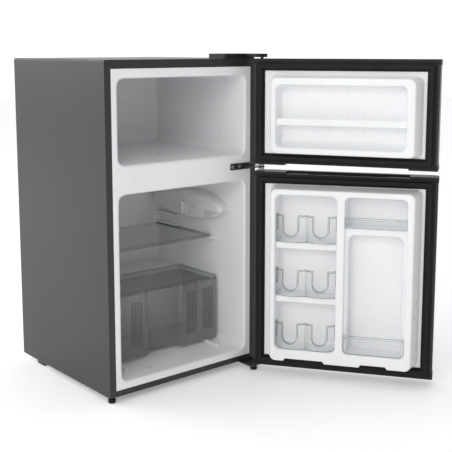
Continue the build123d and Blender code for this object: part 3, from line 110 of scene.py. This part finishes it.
class Finish:
    """A Principled material under construction. Textures read object space, which is the row frame in metres."""

    def __init__(self, name):
        self.material = bpy.data.materials.new(name)
        self.material.use_nodes = True
        self.tree = self.material.node_tree
        self.shader = self.tree.nodes["Principled BSDF"]
        self.where = self.node("ShaderNodeTexCoord").outputs["Object"]
        self.height = None

    def node(self, kind, **settings):
        made = self.tree.nodes.new(kind)
        for key, value in settings.items():
            setattr(made, key, value)
        return made

    def join(self, source, target):
        self.tree.links.new(source, target)

    def stretched(self, scale):
        """Object coordinates multiplied by a vector, for streaks and brushing."""
        mapping = self.node("ShaderNodeMapping")
        mapping.inputs["Scale"].default_value = scale
        self.join(self.where, mapping.inputs["Vector"])
        return mapping.outputs["Vector"]

    def noise(self, scale, detail=4.0, rough=0.55, stretch=None):
        made = self.node("ShaderNodeTexNoise")
        self.join(self.stretched(stretch) if stretch else self.where, made.inputs["Vector"])
        made.inputs["Scale"].default_value = scale
        made.inputs["Detail"].default_value = detail
        made.inputs["Roughness"].default_value = rough
        return made.outputs["Fac"]

    def cells(self, scale, feature="F1"):
        made = self.node("ShaderNodeTexVoronoi", feature=feature)
        self.join(self.where, made.inputs["Vector"])
        made.inputs["Scale"].default_value = scale
        return made.outputs["Distance"]

    def ramp(self, value, low, high, start=0.0, end=1.0):
        """A value between low and high turned into start to end."""
        made = self.node("ShaderNodeMapRange")
        self.join(value, made.inputs["Value"])
        made.inputs["From Min"].default_value = low
        made.inputs["From Max"].default_value = high
        made.inputs["To Min"].default_value = start
        made.inputs["To Max"].default_value = end
        return made.outputs["Result"]

    def edges(self, width):
        """Nearly 1 within width of an edge, 0 on flats: where the rounded normal leaves the true one."""
        rounded = self.node("ShaderNodeBevel", samples=4)
        rounded.inputs["Radius"].default_value = width
        match = self.node("ShaderNodeVectorMath", operation="DOT_PRODUCT")
        self.join(rounded.outputs["Normal"], match.inputs[0])
        self.join(self.node("ShaderNodeNewGeometry").outputs["Normal"], match.inputs[1])
        return self.ramp(match.outputs["Value"], 0.985, 0.9)

    def times(self, one, other):
        made = self.node("ShaderNodeMath", operation="MULTIPLY")
        self.join(one, made.inputs[0])
        if isinstance(other, float):
            made.inputs[1].default_value = other
        else:
            self.join(other, made.inputs[1])
        return made.outputs[0]

    def mix(self, factor, one, other):
        made = self.node("ShaderNodeMix", data_type="RGBA")
        self.join(factor, made.inputs["Factor"])
        for socket, value in ((made.inputs["A"], one), (made.inputs["B"], other)):
            if isinstance(value, tuple):
                socket.default_value = (*value, 1.0)
            else:
                self.join(value, socket)
        return made.outputs["Result"]

    def color(self, value):
        self.join(value, self.shader.inputs["Base Color"])

    def rough(self, value):
        self.join(value, self.shader.inputs["Roughness"])

    def bump(self, value, distance, strength=1.0):
        made = self.node("ShaderNodeBump")
        made.inputs["Distance"].default_value = distance
        made.inputs["Strength"].default_value = strength
        self.join(value, made.inputs["Height"])
        if self.height:
            self.join(self.height, made.inputs["Normal"])
        self.height = made.outputs["Normal"]
        self.join(self.height, self.shader.inputs["Normal"])

    def set(self, **values):
        for key, value in values.items():
            self.shader.inputs[key.replace("_", " ")].default_value = value


def grey(value, warm=0.0):
    """A grey, tinted a little warm."""
    return (value * (1 + warm), value, value * (1 - warm))


# ---------------------------------------------------------------- materials

def enamel(name, tone, roughness, grain=420.0, worn=0.25):
    """Baked enamel on sheet steel: orange peel, faint handling smears, edges rubbed a little brighter."""
    made = Finish(name)
    clouds = made.noise(3.0, 1.0)
    base = made.mix(made.ramp(clouds, 0.3, 0.7), grey(tone * 0.95), grey(tone * 1.05))
    scuffs = made.times(made.edges(EDGE_WEAR), made.ramp(made.noise(60.0, 5.0), 0.5, 0.75))
    made.color(made.mix(made.times(scuffs, worn), base, grey(tone * 3 + 0.05)))
    smears = made.noise(4.0, 2.0, 0.5, (1.0, 1.0, 0.35))
    made.rough(made.ramp(smears, 0.3, 0.7, roughness - 0.02, roughness + 0.03))
    made.bump(made.noise(grain, 2.0), FINE, 0.05)
    made.set(IOR=1.5)
    return made.material


def moulded(name, tone, roughness, warm=0.0, grain=900.0, depth=0.25, shine=0.5):
    """Injection moulded plastic with a fine spark-eroded texture."""
    made = Finish(name)
    clouds = made.ramp(made.noise(14.0, 4.0), 0.3, 0.7)
    made.color(made.mix(clouds, grey(tone * 0.94, warm), grey(tone * 1.04, warm)))
    made.rough(made.ramp(made.noise(35.0, 5.0), 0.3, 0.7, roughness - 0.04, roughness + 0.05))
    made.bump(made.noise(grain, 3.0), FINE, depth)
    made.set(Specular_IOR_Level=shine)
    return made.material


def liner_plastic():
    """Thermoformed white polystyrene: slight waviness, satin gloss, faint handling marks."""
    made = Finish("liner_plastic")
    clouds = made.ramp(made.noise(6.0, 4.0), 0.3, 0.7)
    made.color(made.mix(clouds, (0.84, 0.85, 0.865), (0.88, 0.89, 0.90)))
    made.rough(made.ramp(made.noise(18.0, 6.0, 0.6), 0.3, 0.7, 0.26, 0.38))
    made.bump(made.noise(11.0, 0.0), WAVES, 0.1)
    made.set(IOR=1.5)
    return made.material


def clear(name, tint, roughness, face, edge, ior=1.5):
    """Clear or smoky plastic or glass with faint flow marks. It covers by face seen square on and edge at a graze."""
    made = Finish(name)
    clouds = made.ramp(made.noise(9.0, 4.0), 0.3, 0.7)
    low = tuple(c * 0.9 for c in tint)
    made.color(made.mix(clouds, low, tint))
    made.rough(made.ramp(made.noise(22.0, 6.0, 0.65), 0.4, 0.75, roughness, roughness + 0.05))
    made.bump(made.noise(16.0, 2.0, 0.5, (1.0, 1.0, 0.3)), FLOW, 0.12)
    slant = made.node("ShaderNodeLayerWeight").outputs["Facing"]
    cover = made.ramp(slant, 0.15, 1.0, face, edge)
    smear = made.ramp(made.noise(30.0, 5.0), 0.3, 0.7, 0.92, 1.08)
    made.join(made.times(cover, smear), made.shader.inputs["Alpha"])
    made.set(IOR=ior)
    return made.material


def rubber(name, tone, roughness, shine):
    """Soft black rubber, a little dusty, with a faint moulded grain."""
    made = Finish(name)
    clouds = made.ramp(made.noise(40.0, 5.0), 0.3, 0.75)
    made.color(made.mix(clouds, grey(tone * 0.8), grey(tone * 1.35)))
    made.rough(made.ramp(made.noise(120.0, 4.0), 0.3, 0.7, roughness - 0.06, roughness + 0.08))
    made.bump(made.noise(1100.0, 2.0), FINE, 0.3)
    made.set(Specular_IOR_Level=shine)
    return made.material


def steel(name, color, roughness, stretch, spots=0.35):
    """Plated or bare metal with a drawn grain and cloudy patches."""
    made = Finish(name)
    grain = made.noise(160.0, 3.0, 0.6, stretch)
    patches = made.ramp(made.noise(55.0, 5.0), 0.35, 0.7)
    dark = tuple(c * (1 - spots) for c in color)
    made.color(made.mix(patches, dark, color))
    made.rough(made.ramp(grain, 0.3, 0.7, roughness - 0.08, roughness + 0.12))
    made.bump(grain, FINE, 0.35)
    made.set(Metallic=1.0)
    return made.material


def zinc(name):
    """Zinc plate with its spangle of crystals."""
    made = Finish(name)
    spangle = made.ramp(made.cells(130.0), 0.0, 0.9)
    made.color(made.mix(spangle, (0.46, 0.47, 0.48), (0.66, 0.67, 0.68)))
    made.rough(made.ramp(spangle, 0.0, 1.0, 0.42, 0.56))
    made.bump(made.noise(300.0, 3.0), FINE, 0.3)
    made.set(Metallic=1.0)
    return made.material


def foam(name):
    """Rigid foam with its open cells at the skin."""
    made = Finish(name)
    cells = made.cells(600.0)
    made.color(made.mix(made.ramp(cells, 0.1, 0.7), (0.62, 0.5, 0.26), (0.82, 0.71, 0.43)))
    made.rough(made.ramp(cells, 0.0, 1.0, 0.85, 1.0))
    made.bump(cells, FOAM_CELL, 0.8)
    return made.material


FINISHES = {
    "cabinet_paint": enamel("cabinet_paint", 0.021, 0.36),
    "door_paint": enamel("door_paint", 0.012, 0.36),
    "rear_sheet": enamel("rear_sheet", 0.045, 0.5),
    "black_steel": enamel("black_steel", 0.02, 0.45, worn=0.5),
    "compressor_paint": enamel("compressor_paint", 0.012, 0.28, grain=260.0, worn=0.5),
    "zinc_steel": zinc("zinc_steel"),
    "hinge_steel": steel("hinge_steel", (0.16, 0.16, 0.17), 0.3, (1.0, 8.0, 1.0)),
    "screw_steel": steel("screw_steel", (0.62, 0.62, 0.63), 0.26, (1.0, 1.0, 6.0)),
    "aluminium": steel("aluminium", (0.8, 0.8, 0.82), 0.35, (8.0, 1.0, 1.0), 0.15),
    "copper": steel("copper", (0.72, 0.38, 0.24), 0.28, (1.0, 1.0, 6.0)),
    "liner_plastic": liner_plastic(),
    "box_plastic": moulded("box_plastic", 0.78, 0.34),
    "black_plastic": moulded("black_plastic", 0.01, 0.42, shine=0.3),
    "grey_plastic": moulded("grey_plastic", 0.3, 0.5),
    "nylon": moulded("nylon", 0.78, 0.4, warm=0.03),
    "clear_plastic": clear("clear_plastic", (0.36, 0.38, 0.39), 0.05, 0.02, 0.7),
    "smoky_plastic": clear("smoky_plastic", (0.45, 0.457, 0.463), 0.12, 0.13, 0.55),
    "glass": clear("glass", (0.2, 0.22, 0.215), 0.03, 0.1, 0.3),
    "lamp_glass": clear("lamp_glass", (0.95, 0.94, 0.92), 0.16, 0.85, 0.98),
    "rubber": rubber("rubber", 0.015, 0.62, 0.4),
    "gasket_rubber": rubber("gasket_rubber", 0.007, 0.5, 0.22),
    "foam": foam("foam"),
}

LENS = clear("lens_milky", (0.86, 0.87, 0.88), 0.12, 0.55, 0.95)  # the lamp lens is milkier than the racks

for node, body in frame["nodes"].items():
    body.data.materials.clear()
    body.data.materials.append(LENS if node == "lamp_lens" else FINISHES[SLOT_OF[node]])


# ---------------------------------------------------------------- small pieces the CAD leaves out

def link(name, mesh, body, slot):
    """A new piece that moves with a CAD body and has a slot's finish."""
    made = bpy.data.objects.new(name, mesh)
    SCENE.collection.objects.link(made)
    mesh.materials.append(FINISHES[slot])
    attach(made, body)
    return made


def prism(name, place, size, sides, body, slot, turn=None, bevel=0.15):
    """A bevelled prism centred on place: a box for 4 sides of size (x, y, z), else round with size (radius, radius, z)."""
    mesh = bpy.data.meshes.new(name)
    shape = bmesh.new()
    if sides == 4:
        bmesh.ops.create_cube(shape, size=1.0)
    else:
        bmesh.ops.create_cone(shape, cap_ends=True, segments=sides, radius1=1.0, radius2=1.0, depth=1.0)
    bmesh.ops.scale(shape, vec=size, verts=shape.verts)
    bmesh.ops.bevel(shape, geom=shape.edges[:], offset=min(size) * bevel, segments=2, affect="EDGES")
    bmesh.ops.transform(shape, matrix=Matrix.Translation(place) @ (turn or Matrix()), verts=shape.verts)
    shape.to_mesh(mesh)
    shape.free()
    return link(name, mesh, body, slot)


def hoop(name, place, radius, thickness, body, slot):
    """A flat round ring, rounded in section."""
    mesh = bpy.data.meshes.new(name)
    shape = bmesh.new()
    rings, sections = 48, 12
    grid = []
    for i in range(rings):
        turn = 2 * math.pi * i / rings
        row = []
        for j in range(sections):
            roll = 2 * math.pi * j / sections
            reach = radius + thickness * math.cos(roll)
            row.append(shape.verts.new((place[0] + reach * math.cos(turn), place[1] + reach * math.sin(turn),
                                        place[2] + thickness * math.sin(roll))))
        grid.append(row)
    for i in range(rings):
        after = grid[(i + 1) % rings]
        for j in range(sections):
            face = shape.faces.new((grid[i][j], after[j], after[(j + 1) % sections], grid[i][(j + 1) % sections]))
            face.smooth = True
    shape.to_mesh(mesh)
    shape.free()
    return link(name, mesh, body, slot)


def dial_marks():
    """Raised ticks round the thermostat knob and the pointer line on its finger bar."""
    low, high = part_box("thermostat_knob")
    y, z = (low.y + high.y) / 2, (low.z + high.z) / 2
    radius = (high.z - low.z) / 2
    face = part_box("control_box")[0].x
    reach = radius + TICK_GAP
    for step in range(TICKS):
        angle = math.radians(TICK_START + TICK_STEP * step)
        place = Vector((face, y + reach * math.cos(angle), z + reach * math.sin(angle)))
        size = (TICK_HEIGHT, TICK_LONG if step % 4 == 0 else TICK_SHORT, TICK_WIDTH)
        prism(f"dial_tick_{step + 1}", place, size, 4, CABINET, "grey_plastic", Matrix.Rotation(angle, 4, "X"))
    prism("dial_pointer", Vector((low.x + POINTER_SINK, y, high.z - POINTER_DROP)), POINTER, 4, "thermostat_knob",
          "grey_plastic")


def compressor_fittings():
    """Nuts and washers on the compressor's studs, and the wire clip round the relay cover."""
    low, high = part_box("compressor_grommets")
    top = high.z + STUD_LIFT
    columns = (low.x + STUD_INSET, high.x - STUD_INSET)
    rows = (low.y + STUD_INSET, high.y - STUD_INSET)
    for number, (x, y) in enumerate([(x, y) for y in rows for x in columns], 1):
        prism(f"stud_washer_{number}", Vector((x, y, top + WASHER[2] / 2)), WASHER, 32, CABINET, "screw_steel")
        prism(f"stud_nut_{number}", Vector((x, y, top + NUT_MIDDLE)), NUT, 6, CABINET, "screw_steel")
    low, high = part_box("relay_cover")
    wire, middle = CLIP_WIRE, (low.z + high.z) / 2
    for end, y in (("front", low.y - wire / 2), ("back", high.y + wire / 2)):
        prism(f"relay_clip_{end}", Vector(((low.x + high.x) / 2, y, middle)),
              (high.x - low.x, wire, wire * 2), 4, CABINET, "screw_steel")
    prism("relay_clip_across", Vector((low.x - wire / 2, (low.y + high.y) / 2, middle)),
          (wire, high.y - low.y + 2 * wire, wire * 2), 4, CABINET, "screw_steel")


def edge_beads(name, node, body, radius, finish):
    """Painted shade: a fine dark bead along every sharp edge of a CAD node, standing for the dark lines that
    refraction draws at the edges of a clear moulding.
    """
    shape = bmesh.new()
    shape.from_mesh(frame["nodes"][node].data)
    bmesh.ops.remove_doubles(shape, verts=shape.verts, dist=WELD)
    curve = bpy.data.curves.new(name, "CURVE")
    curve.dimensions = "3D"
    curve.bevel_depth = radius
    curve.bevel_resolution = 2
    curve.use_fill_caps = True
    sharp = {edge for edge in shape.edges if len(edge.link_faces) == 2 and edge.calc_face_angle() > SHARP}
    while sharp:
        edge = sharp.pop()
        chain = [edge.verts[0], edge.verts[1]]
        for end in (1, 0):
            growing = True
            while growing:
                tip = chain[-1] if end else chain[0]
                along = tip.co - (chain[-2].co if end else chain[1].co)
                following = [e for e in tip.link_edges if e in sharp
                             and along.angle(e.other_vert(tip).co - tip.co, NO_ANGLE) < BEND]
                growing = bool(following)
                if growing:
                    sharp.discard(following[0])
                    after = following[0].other_vert(tip)
                    chain = chain + [after] if end else [after] + chain
        spline = curve.splines.new("POLY")
        spline.points.add(len(chain) - 1)
        for point, vert in zip(spline.points, chain):
            point.co = (*vert.co, 1.0)
    shape.free()
    made = bpy.data.objects.new(name, curve)
    SCENE.collection.objects.link(made)
    curve.materials.append(finish)
    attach(made, body)


def clear_edges():
    """Dark beads on the racks, rails, drawer and glass, which show as fine lines: painted shade for the dark outlines
    that refraction makes at clear edges.
    """
    # Painted shade: these edge finishes are darker greys that stand for refraction's dark outlines, not a colour the
    # plastic or glass has.
    line = clear("clear_edge_painted_shade", (0.27, 0.28, 0.285), 0.1, 0.3, 0.8)
    dark = clear("smoky_edge_painted_shade", (0.15, 0.153, 0.156), 0.15, 0.3, 0.75)
    for letter in "abc":
        edge_beads(f"can_rack_{letter}_edges", f"fridge_door_can_rack_{letter}", "fridge_door",
                   RACK_BEAD, line)
    for rail in ("bottle", "dairy"):
        edge_beads(f"{rail}_rail_edges", f"fridge_door_{rail}_rail", "fridge_door",
                   RAIL_BEAD, line)
    edge_beads("drawer_edges", "crisper_drawer", "crisper_drawer", DRAWER_BEAD, dark)
    edge_beads("shelf_edges", "glass_shelf", "glass_shelf", GLASS_BEAD, dark)
    edge_beads("cover_edges", "crisper_cover", "crisper_cover", GLASS_BEAD, dark)


def drain_ring():
    """Raised lip round the melt-water drain on the step of the larder."""
    low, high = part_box("drain_tube")
    place = Vector(((low.x + high.x) / 2, (low.y + high.y) / 2, high.z + DRAIN_LIFT))
    hoop("drain_lip", place, (high.x - low.x) / 2 + DRAIN_REACH, DRAIN_LIP, CABINET, "liner_plastic")


dial_marks()
compressor_fittings()
drain_ring()
clear_edges()


# ---------------------------------------------------------------- floor, light, camera

FLOOR_REACH = 12.0
ROOM_FRONT, ROOM_BEHIND = 0.34, 1.05  # brightness of the room's walls
CAMERA_PLACE = Vector((-1.35547, -1.99662, 0.86463))
CAMERA_TURN = math.radians(40.007)
CAMERA_DIP = math.radians(8.432)
CAMERA_LENS = 71.25
CAMERA_FILM = 36.0
CAMERA_SHIFT = -0.102


def floor():
    """A plain pale floor that the object stands on."""
    mesh = bpy.data.meshes.new("floor")
    reach = FLOOR_REACH
    corners = [(-reach, -reach, 0), (reach, -reach, 0), (reach, reach, 0), (-reach, reach, 0)]
    mesh.from_pydata(corners, [], [(0, 1, 2, 3)])
    made = bpy.data.objects.new("floor", mesh)
    SCENE.collection.objects.link(made)
    pale = Finish("floor_pale")
    pale.color(pale.mix(pale.noise(3.0), grey(0.86), grey(0.9)))
    pale.rough(pale.ramp(pale.noise(20.0), 0.0, 1.0, 0.75, 0.9))
    pale.shader.inputs["Emission Color"].default_value = (1.0, 1.0, 1.0, 1.0)
    pale.shader.inputs["Emission Strength"].default_value = 0.25
    mesh.materials.append(pale.material)


def area_light(name, place, target, size, power):
    """A soft rectangular light at place that faces target."""
    lamp = bpy.data.lights.new(name, "AREA")
    lamp.shape = "RECTANGLE"
    lamp.size, lamp.size_y = size
    lamp.energy = power
    made = bpy.data.objects.new(name, lamp)
    SCENE.collection.objects.link(made)
    made.location = place
    made.rotation_euler = (Vector(target) - Vector(place)).to_track_quat("-Z", "Y").to_euler()


def world(front, behind):
    """A white room whose wall behind the object is the brighter one."""
    made = bpy.data.worlds.new("studio")
    made.use_nodes = True
    tree = made.node_tree
    where = tree.nodes.new("ShaderNodeTexCoord")
    split = tree.nodes.new("ShaderNodeSeparateXYZ")
    shade = tree.nodes.new("ShaderNodeMapRange")
    shade.interpolation_type = "SMOOTHSTEP"
    for socket, value in (("From Min", -0.9), ("From Max", 0.45), ("To Min", front), ("To Max", behind)):
        shade.inputs[socket].default_value = value
    tree.links.new(where.outputs["Generated"], split.inputs["Vector"])
    tree.links.new(split.outputs["Y"], shade.inputs["Value"])
    tree.links.new(shade.outputs["Result"], tree.nodes["Background"].inputs["Strength"])
    tree.nodes["Background"].inputs["Color"].default_value = (1.0, 1.0, 1.0, 1.0)
    SCENE.world = made


def camera():
    """The photograph's view, fitted to the corners of the cabinet and the doors."""
    lens = bpy.data.cameras.new("camera")
    lens.lens = CAMERA_LENS
    lens.sensor_width = CAMERA_FILM
    lens.shift_y = CAMERA_SHIFT
    made = bpy.data.objects.new("camera", lens)
    SCENE.collection.objects.link(made)
    made.location = CAMERA_PLACE
    made.rotation_euler = (math.pi / 2 - CAMERA_DIP, 0.0, -CAMERA_TURN)
    SCENE.camera = made


floor()
world(ROOM_FRONT, ROOM_BEHIND)
middle = (CAD_LOW + CAD_HIGH) / 2
area_light("key", (-3.0, -2.3, 2.2), middle, (2.4, 2.0), 46.0)
area_light("side", (-2.9, 3.2, 1.9), middle, (3.0, 1.6), 62.0)
camera()
SCENE.view_settings.view_transform = "Standard"
